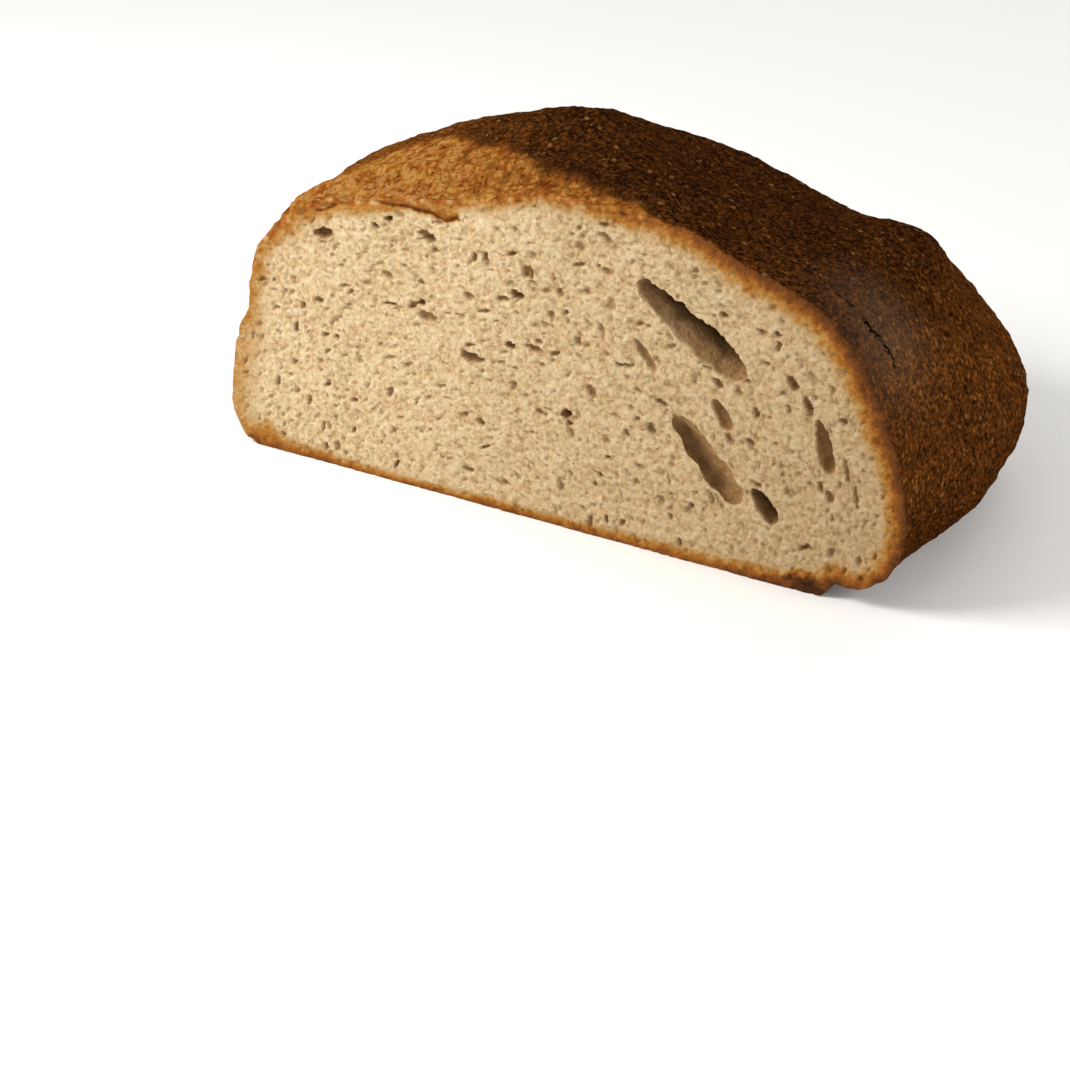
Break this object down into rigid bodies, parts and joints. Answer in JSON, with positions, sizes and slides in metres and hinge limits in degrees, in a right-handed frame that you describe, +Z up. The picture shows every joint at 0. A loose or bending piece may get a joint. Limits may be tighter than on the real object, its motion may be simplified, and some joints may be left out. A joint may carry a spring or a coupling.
{
  "type": "whole wheat bread loaf",
  "caption": "Cut half of a round-ended whole wheat hearth loaf: domed brown crust, torn bloom along the top left, open porous crumb on the flat cut face.",
  "frame": {"origin": "on the surface that the loaf lies on, below the middle of its outline", "axes": "+Z up, the cut face looks along -Y, the rounded heel points along +Y, +X to the right of the cut face seen from in front"},
  "size_m": [0.1822, 0.111, 0.0909],
  "materials": {
    "crust": "baked whole wheat crust: dry, fine pebbled, dark brown on top, golden where it burst open and low on the flanks",
    "crumb": "cut wheat crumb: soft, porous, warm beige with brown bran flecks"
  },
  "bodies": {
    "root": {"loaf": "crust"}
  },
  "joints": []
}
